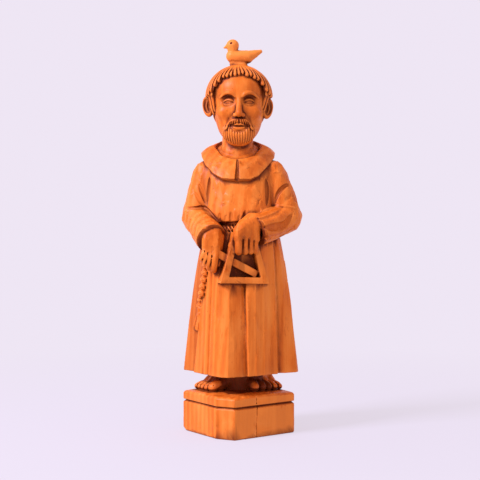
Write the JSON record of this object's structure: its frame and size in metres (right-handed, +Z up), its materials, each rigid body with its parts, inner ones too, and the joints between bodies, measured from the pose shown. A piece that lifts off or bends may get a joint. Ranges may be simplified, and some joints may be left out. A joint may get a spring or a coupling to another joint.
{
  "type": "saint statue",
  "caption": "Carved wooden folk figure of a bearded friar in a belted, hooded habit, holding an open frame and a bar, with a small bird on the head, on a corner-set block plinth.",
  "frame": {"origin": "middle of the block's section, on the plinth's flat underside", "axes": "+Z up along the figure, which faces -Y over a corner of the plinth, with +X to the viewer's right"},
  "size_m": [0.0894, 0.0755, 0.2999],
  "materials": {
    "carved_wood": "knife-carved, oiled and waxed red-orange wood with a satin sheen"
  },
  "bodies": {
    "root": {"carved_saint": "carved_wood"}
  },
  "joints": []
}
